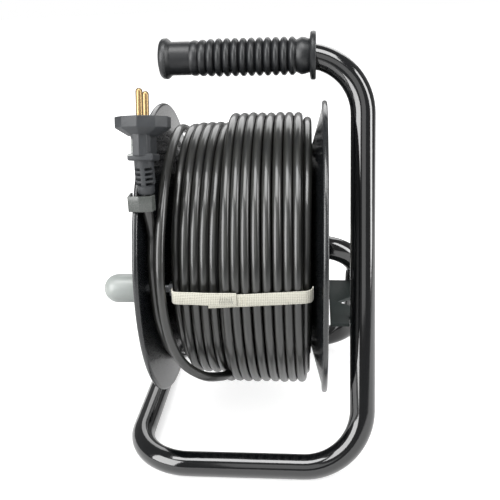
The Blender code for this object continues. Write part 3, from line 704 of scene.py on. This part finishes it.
# ---- plug -----------------------------------------------------------------------------------
@dataclass
class ContourPlug:
    """Two-pin plug parked pins up: sleeve, slotted relief, collar, neck and faceted head."""

    x: float = PLUG_X
    y: float = PLUG_Y
    foot_z: float = 0.0790
    face_z: float = 0.1333
    head_r: float = 0.0190
    pin_spacing: float = 0.019
    pin_r: float = 0.0024
    pin_length: float = 0.019
    relief_rows: int = 4
    lean_degrees: float = 15.0
    bend_height: float = 0.022

    def lean_back(self, piece: Piece, foot: Vector) -> None:
        """Turn a piece of the plug back about the top of its sleeve.

        Args:
            piece: Piece drawn upright.
            foot: Middle of the sleeve's foot.
        """
        activate(piece)
        turn = Matrix.Rotation(-math.radians(self.lean_degrees), 4, "X")
        bend = foot + Vector((0, 0, self.bend_height))
        piece.matrix_world = Matrix.Translation(bend) @ turn @ Matrix.Translation(-bend)
        bpy.ops.object.transform_apply(location=True, rotation=True, scale=True)

    def build(self) -> list[Piece]:
        """Build the plug.

        Returns:
            The moulding and its two pins.
        """
        return [self.build_moulding(), *self.build_pins()]

    def build_moulding(self) -> Piece:
        """Build the one-piece soft PVC moulding."""
        foot = place(self.x, self.y, self.foot_z)
        sleeve = [(0, 0), (0.0056, 0), (0.0062, 0.0012), (0.0062, 0.0060), (0.0072, 0.0078),
                  (0.0068, 0.0285), (0, 0.0285)]
        plug = turn_profile("plug_moulding", sleeve, foot, 48, Axis.Z)
        for row in range(self.relief_rows):
            for side in (-1, 1):
                slot = block("relief_slot", (0.0050, 0.0090, 0.0021),
                             foot + Vector((side * 0.0041, -0.0066, 0.0082 + 0.0036 * row)), 0)
                carve(plug, slot, "DIFFERENCE")
        collar = block("collar", (0.0182, 0.0240, 0.0050), foot + Vector((0, 0, 0.0262)), 0.0012)
        neck = [(-0.0082, -0.0040), (-0.0048, -0.0120), (0.0, -0.0139), (0.0050, -0.0115),
                (0.0069, -0.0080), (0.0069, 0.0120), (-0.0069, 0.0120)]
        shaft = raise_outline("neck", [foot + Vector((x, y, 0.0270)) for x, y in neck],
                              Vector((0, 0, 0.0200)), 0.0004)
        for part in (collar, shaft, self.build_head(foot)):
            self.lean_back(part, foot)
            carve(plug, part, "UNION")
        round_edges(plug, 0, limit=28)
        coat = PebbledMoulding("plug_soft_pvc", "#1d1f22", "#2a2d30", 0.52, 0.08, ior=1.53,
                               grain_mm=0.6, grain_depth_mm=0.04, patch_x=foot.x - 0.0050,
                               patch_low=foot.z + 0.0300, patch_high=foot.z + 0.0405)
        return finish_piece(plug, coat, Body.DRUM, "plug_plastic", "plug_body")

    def build_head(self, foot: Vector) -> Piece:
        """Build the head: a ridge towards the front between two flat facets, chamfered below."""
        radius, top = self.head_r, self.face_z - self.foot_z
        half = [(0.0, -radius), (0.0120, -0.0142), (radius, -0.0058), (radius, 0.0058),
                (0.0120, 0.0142), (0.0, radius)]
        outline = half + [(-x, y) for x, y in reversed(half[1:-1])]
        thickness, chamfer = 0.0078, 0.0056
        head = raise_outline("head", [foot + Vector((x, y, top - thickness)) for x, y in outline],
                             Vector((0, 0, thickness)), 0)
        activate(head)
        bpy.ops.object.mode_set(mode="EDIT")
        bpy.ops.mesh.select_mode(type="FACE")
        shape = bmesh.from_edit_mesh(head.data)
        for face in shape.faces:
            face.select_set(face.normal.z < -0.9)
        bmesh.update_edit_mesh(head.data)
        bpy.ops.mesh.extrude_region_move(TRANSFORM_OT_translate={"value": (0, 0, -chamfer)})
        bpy.ops.transform.resize(value=(0.52, 0.70, 1.0),
                                 center_override=foot + Vector((0, 0, top - thickness - chamfer)))
        close_up()
        round_edges(head, 0.0006, 2, 20)
        return head

    def build_pins(self) -> list[Piece]:
        """Build the two round pins with rounded tips."""
        pins = []
        for number, side in enumerate((-1, 1), 1):
            base = place(self.x, self.y + side * self.pin_spacing / 2, self.face_z)
            foot = place(self.x, self.y, self.foot_z)
            profile = [(0, -0.0037), (self.pin_r, -0.0037), (self.pin_r, self.pin_length - 0.0022),
                       (self.pin_r * 0.86, self.pin_length - 0.0009),
                       (self.pin_r * 0.5, self.pin_length - 0.0001), (0, self.pin_length)]
            pin = turn_profile(f"round_pin_{number}", profile, base, 32, Axis.Z)
            self.lean_back(pin, foot)
            pins.append(finish_piece(pin, TAN_PIN_METAL, Body.DRUM, "nickel_plate",
                                     f"plug_pin_{number}"))
        return pins


# ---- cord -----------------------------------------------------------------------------------
@dataclass
class WoundCord:
    """The whole cord on one line: six full layers, a part layer, and the end to the plug."""

    radius: float = 0.0037
    first_layer_r: float = 0.0690
    layer_rise: float = 0.00718
    full_layers: int = 6
    top_layer_r: float = 0.1123
    left_x: float = -0.1145
    right_x: float = -0.0157
    step_x: float = -0.0815
    flat_right_x: float = -0.0218
    cone_slope: float = 0.27
    core_r: float = 0.0656
    wander: float = 0.00034
    ripple: float = 0.00022
    pitch: float = 0.00755
    gland_degrees: float = 292.5
    gland_x: float = -0.082
    leave_degrees: float = 590.0
    sides: int = 14
    droop: float = 0.0012

    def right_limit(self, radius: float) -> float:
        """Return how far right a turn of this radius can lie inside the dished rear flange."""
        cone = max(0.0, radius - FLAT_R) * self.cone_slope
        return min(self.right_x, self.flat_right_x + cone)

    def layers(self) -> list[tuple[float, float, float, int]]:
        """Return (radius, start x, end x, points per turn) of each pass, from the core out."""
        runs = []
        for number in range(self.full_layers):
            radius = self.first_layer_r + number * self.layer_rise
            ends = [self.right_limit(radius), self.left_x]
            if number % 2:
                ends.reverse()
            runs.append((radius, ends[0], ends[1], 60 if number == self.full_layers - 1 else 24))
        runs.append((self.top_layer_r, self.right_x, self.step_x, 72))
        return runs

    def wound_points(self) -> list[Vector]:
        """Return the winding's centreline, from the gland to where the free end leaves."""
        runs = self.layers()
        lead_in = 1.0
        total = lead_in + sum(abs(b - a) / self.pitch for _, a, b, _ in runs)
        start = self.leave_degrees + 360 * total
        lead_in += ((self.gland_degrees - start) % 360) / 360
        runs.insert(0, (self.first_layer_r, self.gland_x, runs[0][1], 24))
        points, done, last_r = [], 0.0, self.core_r
        spans = [lead_in] + [abs(b - a) / self.pitch for _, a, b, _ in runs[1:]]
        whole = sum(spans)
        for (radius, start_x, end_x, density), span in zip(runs, spans):
            count = int(span * density)
            for i in range(count):
                turn = span * i / count
                climb = min(1.0, turn / 0.3)
                climb = climb * climb * (3 - 2 * climb)
                phase = done + turn
                slack = self.wander * math.sin(2 * math.pi * 0.137 * phase + 1.1)
                slack += self.ripple * math.sin(4 * math.pi * phase + 0.9 * int(phase))
                sag = self.ripple * math.sin(2 * math.pi * 0.31 * phase + 0.4)
                fade = min(1.0, turn / 0.5, (span - turn) / 0.5)
                degrees = self.leave_degrees + 360 * (whole - phase)
                low = max(0.0, -math.sin(math.radians(degrees)))
                r = last_r + (radius - last_r) * climb + sag * fade + self.droop * low * low
                x = start_x + (end_x - start_x) * turn / span + slack * fade
                points.append(place(*round_axle(r, degrees, x)))
            done += span
            last_r = radius
        return points

    def free_points(self) -> list[Vector]:
        """Return the free end's centreline: off the turns, once round, and up into the plug."""
        turns = [
            (0.1123, 590, -0.0818), (0.1175, 583, -0.0850), (0.1235, 575, -0.0975),
            (0.1235, 566, -0.1110), (0.1195, 555, -0.1190), (0.1165, 541, -0.1225),
            (0.1145, 525, -0.1232), (0.1120, 508, -0.1226), (0.1078, 485, -0.1223),
            (0.1045, 450, -0.1223), (0.1040, 410, -0.1226), (0.1040, 370, -0.1235),
            (0.1030, 335, -0.1250), (0.1000, 300, -0.1262), (0.0970, 270, -0.1265),
            (0.0960, 245, -0.1265), (0.0975, 222, -0.1272), (0.1010, 205, -0.1282),
            (0.1060, 188, -0.1292), (0.1085, 168, -0.1298),
        ]
        route = [place(*round_axle(*turn)) for turn in turns]
        route.append(place(-0.1299, -0.0985, 0.0450))
        route += [place(PLUG_X, PLUG_Y, z) for z in (0.0620, 0.0790, 0.0830)]
        return smooth_path(route, 0.004)

    def build(self, plug: list[Piece]) -> None:
        """Args:
            plug: The plug's pieces; not used.
        """
        path = self.wound_points() + self.free_points()
        cord = sheath_mesh("black_cord", path, self.radius, self.sides)
        finish_piece(cord, PVC_SHEATH, Body.DRUM, "cord_pvc", "cord_coil", "cord_free")


# ---- frame ----------------------------------------------------------------------------------
@dataclass
class CarryingFrame:
    """Bent tube from the grip round both feet to the axle, with its grip and tie plate."""

    tube_r: float = 0.010
    bend_r: float = 0.047
    axle_bend_r: float = 0.038
    base: float = -0.148
    handle: float = 0.162
    spread: float = 0.1104
    rear_x: float = 0.0277
    front_x: float = -0.160
    handle_end_x: float = -0.1325
    axle_end_x: float = -0.092
    grip_end_x: float = -0.1347
    grip_guard_x: float = -0.0094
    ribs: int = 13
    rib_pitch: float = 0.0065
    shallow_ribs: int = 4

    def build(self) -> None:
        """Build the tube, the grip and the plate."""
        self.build_tube()
        self.build_grip()
        self.build_tie_plate()

    def build_tube(self) -> None:
        """Bend the tube."""
        corners = [place(self.handle_end_x, 0, self.handle), place(self.rear_x, 0, self.handle),
                   place(self.rear_x, -self.spread, self.base),
                   place(self.front_x, -self.spread, self.base),
                   place(self.front_x, self.spread, self.base),
                   place(self.rear_x, self.spread, self.base),
                   place(self.rear_x, 0, 0), place(self.axle_end_x, 0, 0)]
        path = rounded_path(corners, [self.bend_r] * 5 + [self.axle_bend_r], 18)
        tube = bend_rod("bent_tube", path, self.tube_r, 10)
        finish_piece(tube, GLOSS_POWDER_COAT, Body.FRAME, "gloss_black_paint", "frame_tube")

    def grip_profile(self) -> list[tuple[float, float]]:
        """Return the grip's outline with rounded ribs; heights count from its free end."""
        length = self.grip_guard_x - self.grip_end_x
        first = length - 0.0155 - self.ribs * self.rib_pitch
        outline = [(0, 0), (0.0110, 0), (0.0140, 0.0008), (0.0156, 0.0024), (0.0160, 0.0042),
                   (0.0160, 0.0062), (0.0150, 0.0076), (0.0135, 0.0090), (0.0132, 0.0100),
                   (0.0132, first - 0.0012)]
        for rib in range(self.ribs):
            start = first + rib * self.rib_pitch
            depth = min(1.0, (rib + 1) / self.shallow_ribs)
            groove = 0.0132 - 0.0015 * depth
            crown = 0.0136 + 0.0014 * depth
            for share, along in ((0.0, 0.0), (0.50, 0.14), (0.88, 0.30), (1.0, 0.50),
                                 (0.88, 0.70), (0.50, 0.86)):
                outline.append((groove + (crown - groove) * share,
                                start + along * self.rib_pitch))
        end = first + self.ribs * self.rib_pitch
        outline += [(0.0125, end), (0.0145, end + 0.004), (0.0142, end + 0.0065),
                    (0.0130, length - 0.005), (0.0178, length - 0.0044), (0.0188, length - 0.0034),
                    (0.0188, length - 0.0012), (0.0180, length), (0.0115, length),
                    (0.0103, length - 0.012), (0.0103, 0.0025), (0, 0.0025)]
        return outline

    def build_grip(self) -> None:
        """Turn the ribbed grip on its bore."""
        grip = turn_profile("ribbed_grip", self.grip_profile(),
                            place(self.grip_end_x, 0, self.handle), steps=64)
        finish_piece(grip, MOULDED_POLYPROPYLENE, Body.FRAME, "grip_plastic", "handle_grip")

    def build_tie_plate(self) -> None:
        """Press the notched plate between the two rear tubes."""
        low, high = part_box("tie_plate")
        edge = self.rear_x - self.tube_r - GAP
        near, far = low.y, high.y
        inner_near, inner_far = near + 0.0120, far - 0.0004
        notch = (inner_near + inner_far) / 2 - 0.008
        back = high.x - REAR_X
        outline = [(0.0022, near), (edge, near), (edge, inner_near), (back, inner_near),
                   (back, notch - 0.015), (0.0094, notch), (back, notch + 0.015),
                   (back, inner_far), (edge, inner_far), (0.0022, far)]
        plate = raise_outline("pressed_tie_plate",
                              [Vector((x + REAR_X, y, low.z)) for x, y in outline],
                              Vector((0, 0, high.z - low.z)), 0.0008)
        finish_piece(plate, PLATE_PAINTED_REFLECTION, Body.FRAME, "gloss_black_paint", "tie_plate")


# ---- drum -----------------------------------------------------------------------------------
@dataclass
class SteelDrum:
    """Two spun flanges, the socket plate with its four wells, bolts, bush and button."""

    width: float = DRUM_WIDTH
    flange_r: float = FLANGE_R
    sheet: float = 0.0012
    dish: float = DISH
    flat_r: float = FLAT_R
    lip: float = FLANGE_LIP
    plate_r: float = 0.0665
    plate_thickness: float = 0.003
    well_r: float = 0.0197
    well_wall: float = 0.0016
    well_circle_r: float = 0.037
    well_depth: float = 0.0175
    well_raise: float = 0.0105
    pin_spacing: float = 0.019
    bolt_circle_r: float = 0.0575
    bolt_turn: float = 4.0
    bolt_r: float = 0.002
    angles: tuple[float, ...] = field(default=(45.0, 135.0, 225.0, 315.0))

    @property
    def plate_x(self) -> float:
        """Front face of the socket plate."""
        return -self.width + self.dish - GAP - self.plate_thickness

    def build(self) -> None:
        """Build everything that turns with the drum and shows."""
        self.build_flanges()
        self.build_plate()
        self.build_wells()
        self.build_fixings()

    def flange_profile(self, hole_r: float) -> list[tuple[float, float]]:
        """Return (radius, depth) points of a flange: flat middle, a pressed ring, cone and lip."""
        start = self.flange_r - self.lip
        slope = (self.dish - self.lip / 2) / (self.flange_r - self.lip / 2 - self.flat_r)
        depth = self.dish - (start - self.flat_r) * slope
        outer = [(hole_r, self.dish), (self.flat_r - 0.0015, self.dish),
                 (self.flat_r + 0.0008, self.dish - 0.0002), (self.flat_r + 0.0030,
                                                             self.dish - 0.0030 * slope),
                 (start, depth), (start + 0.0006, 0.0010), (start + 0.0013, 0.0003)]
        rim = [(self.flange_r - 0.0022, 0.0), (self.flange_r - 0.0010, 0.0003),
               (self.flange_r - 0.0003, 0.0011), (self.flange_r, 0.0022),
               (self.flange_r - 0.0003, 0.0034), (self.flange_r - 0.0010, 0.0042),
               (self.flange_r - 0.0022, 0.0045)]
        inner = [(start, depth + self.sheet), (self.flat_r, self.dish + self.sheet),
                 (hole_r, self.dish + self.sheet)]
        return outer + rim + inner

    def build_flanges(self) -> None:
        """Spin the rear and front flanges."""
        for end, way, hole_r, x in (("rear", -1, 0.0148, 0), ("front", 1, 0.0612, -self.width)):
            profile = [(r, way * depth) for r, depth in self.flange_profile(hole_r)]
            piece = turn_profile(f"{end}_spun_flange", profile, place(x, 0, 0), steps=144)
            finish_piece(piece, SATIN_STOVED_PAINT, Body.DRUM, "satin_black_paint",
                         f"{end}_flange")

    def build_plate(self) -> None:
        """Turn the socket plate with a raised border and open its wells and button hole."""
        radius, depth = self.plate_r, self.plate_thickness
        profile = [(0, 0.0004), (radius - 0.0050, 0.0004), (radius - 0.0042, 0),
                   (radius - 0.0008, 0), (radius, 0.0008), (radius, depth), (0, depth)]
        plate = turn_profile("moulded_socket_plate", profile, place(self.plate_x, 0, 0), steps=96)
        for angle in self.angles:
            centre = place(*round_axle(self.well_circle_r, angle, self.plate_x))
            drill(plate, centre, 0.0216, 0.01, 48)
        drill(plate, place(self.plate_x, 0.0, 0.0), 0.0061, 0.01, 48)
        round_edges(plate, 0)
        finish_piece(plate, SOCKET_MOULDING, Body.DRUM, "socket_plastic", "socket_plate")

    def build_wells(self) -> None:
        """Turn one socket well per place, with a stepped mouth and two pin holes."""
        outer = self.well_r + self.well_wall
        floor = self.well_depth - self.well_raise
        front = -self.well_raise
        profile = [(0, floor), (self.well_r - 0.0005, floor), (self.well_r, floor - 0.0005),
                   (self.well_r, front + 0.0008), (self.well_r + 0.0006, front),
                   (outer - 0.0004, front), (outer, front + 0.0005), (outer, -GAP - 0.0015),
                   (outer + 0.0014, -GAP - 0.0013), (outer + 0.0014, -GAP), (outer, -GAP),
                   (outer, floor + 0.0025), (0, floor + 0.0025)]
        for number, angle in enumerate(self.angles, 1):
            centre = place(*round_axle(self.well_circle_r, angle, self.plate_x))
            well = turn_profile(f"socket_well_{number}", profile, centre, steps=64)
            for side in (-1, 1):
                spot = round_axle(self.well_circle_r + side * self.pin_spacing / 2, angle,
                                  self.plate_x + floor)
                drill(well, place(*spot), 0.0027, 0.004, 24)
            round_edges(well, 0)
            finish_piece(well, SOCKET_MOULDING, Body.DRUM, "socket_plastic", f"socket_{number}")

    def build_fixings(self) -> None:
        """Build the tie bolts with crossed heads, the rear bush and the reset button."""
        front = self.plate_x - GAP
        for number in range(4):
            spot = round_axle(self.bolt_circle_r, self.bolt_turn + 90 * number, front)
            shank = [(0, -self.dish + 0.007 - front), (self.bolt_r, -self.dish + 0.007 - front),
                     (self.bolt_r, 0), (0.0036, 0), (0.0036, -0.0013), (0.0031, -0.0020),
                     (0.0020, -0.0024), (0, -0.0024)]
            bolt = turn_profile(f"pan_head_bolt_{number + 1}", shank, place(*spot), steps=24)
            for size in ((0.0022, 0.0042, 0.0007), (0.0022, 0.0007, 0.0042)):
                slot = block("cross", size, place(*spot) - Vector((0.0024, 0, 0)), 0)
                carve(bolt, slot, "DIFFERENCE")
            round_edges(bolt, 0)
            finish_piece(bolt, ZINC_PLATE, Body.DRUM, "zinc_steel", f"tie_bolt_{number + 1}")
        bush = [(0.0103, -0.022), (0.0145, -0.022), (0.0145, GAP), (0.0205, GAP),
                (0.0205, 0.0028), (0.0200, 0.0033), (0.0103, 0.0033)]
        piece = turn_profile("flanged_rear_bush", bush, place(-self.dish, 0, 0), steps=48)
        finish_piece(piece, NATURAL_NYLON, Body.DRUM, "nylon", "rear_bush")
        button = [(0, 0.0089), (0.0055, 0.0089), (0.0055, -0.0020), (0.0050, -0.0028),
                  (0.0042, -0.0031), (0, -0.0032)]
        piece = turn_profile("reset_push_button", button, place(self.plate_x, 0, 0), steps=40)
        finish_piece(piece, RED_POLYCARBONATE, Body.BUTTON, "red_plastic", "reset_button")


@dataclass
class WindingKnob:
    """Round-ended knob that spins on its pin, on a fixed base."""

    y: float = -0.080
    z: float = -0.005
    radius: float = 0.0113
    end_x: float = -0.176
    base_height: float = 0.0075

    def build(self) -> None:
        """Build the knob; its base is the CAD node."""
        flange_x = -DRUM_WIDTH + DISH - (math.hypot(self.y, self.z) - FLAT_R) * CONE_SLOPE
        base_front = flange_x - self.base_height
        length = base_front - GAP - self.end_x
        nose = [(self.radius * math.sin(math.radians(a)),
                 self.radius * (1 - math.cos(math.radians(a)))) for a in range(0, 91, 9)]
        profile = nose + [(self.radius, length - 0.0012), (self.radius - 0.0008, length),
                          (0.0033, length), (0.0033, 0.016), (0, 0.016)]
        knob = turn_profile("round_ended_knob", profile, place(self.end_x, self.y, self.z),
                            steps=64)
        finish_piece(knob, SATIN_ABS, Body.KNOB, "grey_plastic", "winding_knob")


# ---- clip and strap -------------------------------------------------------------------------
@dataclass
class SpringClip:
    """Folded clip over the front rim, wrapped about the cord under the plug."""

    wall: float = 0.0016
    middle_z: float = 0.0727
    height: float = 0.0115

    def build(self) -> None:
        """Fold the clip from one strip."""
        off = GAP + self.wall / 2
        low = self.middle_z - self.height / 2
        edge = -math.sqrt(FLANGE_R ** 2 - low ** 2) - off
        hook, inner = -DRUM_WIDTH - off, -DRUM_WIDTH + FLANGE_LIP + off
        corners = [(hook, -0.0965), (hook, edge), (inner, edge), (inner + 0.0008, -0.1072),
                   (PLUG_X, -0.1068), (-0.1267, -0.1058), (-0.1251, -0.1018)]
        clip = fold_strip("folded_spring_clip", [place(x, y, low) for x, y in corners],
                          self.height, self.wall, 0.0003)
        finish_piece(clip, CLIP_NYLON, Body.DRUM, "grey_plastic", "plug_clip")


@dataclass
class TieStrap:
    """Webbing strap over the turns: two lengths that overlap, stitched where they meet."""

    width: float = 0.0098
    thickness: float = 0.0009
    outside: float = -0.1168
    left_z: float = -0.0014
    right_start_z: float = -0.0043
    right_end_z: float = 0.0004
    overlap: tuple[float, float] = (-0.088, -0.067)
    lap: float = 0.0011
    stitches: int = 13
    stitch_step: float = 0.0008
    stitch_height: float = 0.0050
    row_height: float = 0.0078
    thread_r: float = 0.0002

    def build(self) -> None:
        """Build both lengths and the stitching."""
        left = [(-0.1156, -0.1095), (-0.1150, -0.1135), (-0.1116, self.outside + 0.0006),
                (-0.0980, self.outside - 0.0002), (-0.0880, self.outside - self.lap),
                (self.overlap[1], self.outside - self.lap)]
        right = [(self.overlap[0], self.outside), (-0.0600, self.outside),
                 (-0.0400, self.outside), (-0.0190, self.outside + 0.0002),
                 (-0.0150, self.outside + 0.0009), (-0.0126, self.outside + 0.0026),
                 (-0.0116, self.outside + 0.0056), (-0.0114, self.outside + 0.0085)]
        rise = (self.right_end_z - self.right_start_z) / (right[-1][0] - right[0][0])
        lengths = (
            ("strap_left_length", [place(x, y, self.left_z) for x, y in left], ("strap_band",)),
            ("strap_right_length",
             [place(x, y, self.right_start_z + (x - right[0][0]) * rise) for x, y in right], ()),
        )
        for name, path, nodes in lengths:
            strip = fold_strip(name, smooth_path(path, 0.0015), self.width, self.thickness, 0.0002)
            finish_piece(strip, IVORY_WEBBING, Body.DRUM, "webbing", *nodes)
        self.build_stitching()

    def build_stitching(self) -> None:
        """Sew a zigzag through the overlap and a straight row beside it."""
        face = self.outside - self.lap - self.thickness / 2
        low = self.left_z + 0.0016
        zigzag = [place(-0.0795 + self.stitch_step * i, face,
                        low + (self.stitch_height if i % 2 else 0.0))
                  for i in range(self.stitches)]
        rows = [("zigzag_stitching", zigzag, DARK_THREAD)]
        for number, x in enumerate((-0.0632, -0.0602), 1):
            near = self.outside - self.thickness / 2
            foot = self.right_start_z + 0.0020
            rows.append((f"straight_stitching_{number}",
                         [place(x, near, foot), place(x, near, foot + self.row_height)],
                         PALE_THREAD))
        for name, points, thread in rows:
            finish_piece(bend_rod(name, points, self.thread_r, 1), thread, Body.DRUM, "webbing")


# ---- studio ---------------------------------------------------------------------------------
@dataclass
class Studio:
    """Pale floor and soft lamps."""

    reach: float = 8.0
    drop: float = 0.0003
    aim: Point = (-0.02, 0.0, 0.16)
    mirrored_share: float = 0.45
    ambient: float = 0.22
    lamps: tuple[tuple[str, Point, float, float, float], ...] = field(default=(
        ("left_softbox", (-1.05, -0.95, 0.75), 1.10, 1.30, 34.0),
        ("right_softbox", (1.30, -0.25, 0.80), 0.45, 1.40, 17.0),
        ("top_softbox", (-0.10, -0.45, 1.55), 1.30, 0.70, 24.0),
        ("front_fill", (0.25, -1.80, 1.10), 1.20, 1.20, 5.0),
        ("back_softbox", (0.10, 1.50, 1.20), 1.60, 1.00, 12.0),
    ))

    def build(self) -> None:
        """Build the floor, the world and the lamps."""
        self.build_floor()
        self.build_world()
        for name, spot, width, height, power in self.lamps:
            data = bpy.data.lights.new(name, "AREA")
            data.shape = "RECTANGLE"
            data.size = width
            data.size_y = height
            data.energy = power
            lamp = add_object(name, data)
            towards = Vector(self.aim) - Vector(spot)
            turn = towards.to_track_quat("-Z", "Y").to_matrix().to_4x4()
            lamp.matrix_world = Matrix.Translation(spot) @ turn

    def seen_ray(self, tree: Tree) -> Socket:
        """Return 1 for camera and transmission rays, less for glossy ones and 0 for lighting."""
        rays = add_node(tree, "ShaderNodeLightPath")
        mirrored = maths(tree, "MULTIPLY", rays.outputs["Is Glossy Ray"], self.mirrored_share)
        seen = maths(tree, "MAXIMUM", rays.outputs["Is Camera Ray"], mirrored)
        return maths(tree, "MAXIMUM", seen, rays.outputs["Is Transmission Ray"])

    def build_floor(self) -> None:
        """Lay a wide floor: white from above, with the reel's shadow, and clear from below."""
        deselect()
        bpy.ops.mesh.primitive_circle_add(vertices=64, radius=self.reach, fill_type="NGON",
                                          location=(0, 0, -self.drop))
        bpy.ops.object.transform_apply(location=True, rotation=True, scale=True)
        floor = bpy.context.object
        floor.name = "studio_floor"
        material = bpy.data.materials.new("seamless_paper")
        material.use_nodes = True
        tree = material.node_tree
        out = tree.nodes["Material Output"]
        tree.nodes.remove(tree.nodes["Principled BSDF"])
        paper = add_node(tree, "ShaderNodeBsdfDiffuse", {"Color": linear("#c8c8c8")})
        glow = add_node(tree, "ShaderNodeEmission", {"Color": (1.0, 1.0, 1.0, 1.0)})
        spot = add_node(tree, "ShaderNodeTexCoord")
        away = add_node(tree, "ShaderNodeVectorMath", {"operation": "LENGTH"},
                        {0: spot.outputs["Object"]})
        fade = add_node(tree, "ShaderNodeMapRange",
                        {"From Min": 0.25, "From Max": 1.1, "To Min": 0.66, "To Max": 1.0},
                        {"Value": away.outputs["Value"]})
        level = maths(tree, "MULTIPLY", self.seen_ray(tree), fade.outputs["Result"])
        tree.links.new(level, glow.inputs["Strength"])
        both = add_node(tree, "ShaderNodeAddShader", {}, {0: paper.outputs[0], 1: glow.outputs[0]})
        under = add_node(tree, "ShaderNodeNewGeometry")
        clear = add_node(tree, "ShaderNodeBsdfTransparent")
        sided = add_node(tree, "ShaderNodeMixShader", {},
                         {0: under.outputs["Backfacing"], 1: both.outputs[0], 2: clear.outputs[0]})
        tree.links.new(sided.outputs[0], out.inputs["Surface"])
        floor.data.materials.append(material)

    def build_world(self) -> None:
        """Light softly from all round, and show white behind the reel."""
        world = bpy.data.worlds.new("studio_world")
        bpy.context.scene.world = world
        world.use_nodes = True
        tree = world.node_tree
        background = tree.nodes["Background"]
        background.inputs["Color"].default_value = (1.0, 1.0, 1.0, 1.0)
        rays = add_node(tree, "ShaderNodeLightPath")
        lit = add_node(tree, "ShaderNodeMath",
                       {"operation": "MULTIPLY_ADD", 1: 0.78, 2: self.ambient},
                       {0: rays.outputs["Is Camera Ray"]})
        tree.links.new(lit.outputs["Value"], background.inputs["Strength"])


# ---- carried-over CAD nodes -----------------------------------------------------------------
@dataclass
class InnerParts:
    """CAD nodes whose shape is right, and the finish that each one gets."""

    finishes: dict[Finish, tuple[str, ...]] = field(default_factory=lambda: {
        SATIN_STOVED_PAINT: ("drum_core",),
        SATIN_ABS: ("knob_base",),
        NATURAL_NYLON: ("front_bush", "terminal_block"),
        ZINC_PLATE: ("bearing_plate", "axle_washer", "retaining_pin", "knob_pin", "knob_nut",
                     *(f"tie_nut_{number}" for number in range(1, 5))),
        SOCKET_MOULDING: ("contact_carrier", "thermal_cut_out", "cord_gland", "inner_lead"),
        DRAWN_BRASS: (*(f"contact_{number}{side}" for number in range(1, 5) for side in "ab"),
                      "contact_rail_live", "contact_rail_neutral"),
    })

    def dress(self) -> None:
        """Assign each finish to its nodes' material slots."""
        for finish, names in self.finishes.items():
            for name in names:
                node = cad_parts[name]
                for slot in node.material_slots:
                    slot.material = finish.make()
                if not node.material_slots:
                    node.data.materials.append(finish.make())
                LOG.info("%s: %s", name, finish.name)


def write_sizes() -> None:
    bpy.context.view_layer.update()


def main() -> None:
    """Build the camera and cord first, then the rest of the reel and the studio."""
    logging.basicConfig(level=logging.INFO, format="%(message)s")
    bpy.context.scene.view_settings.view_transform = "Standard"
    StudioCamera().build()
    WoundCord().build(ContourPlug().build())
    CarryingFrame().build()
    SteelDrum().build()
    WindingKnob().build()
    SpringClip().build()
    TieStrap().build()
    InnerParts().dress()
    Studio().build()
    write_sizes()


if __name__ == "__main__":
    main()
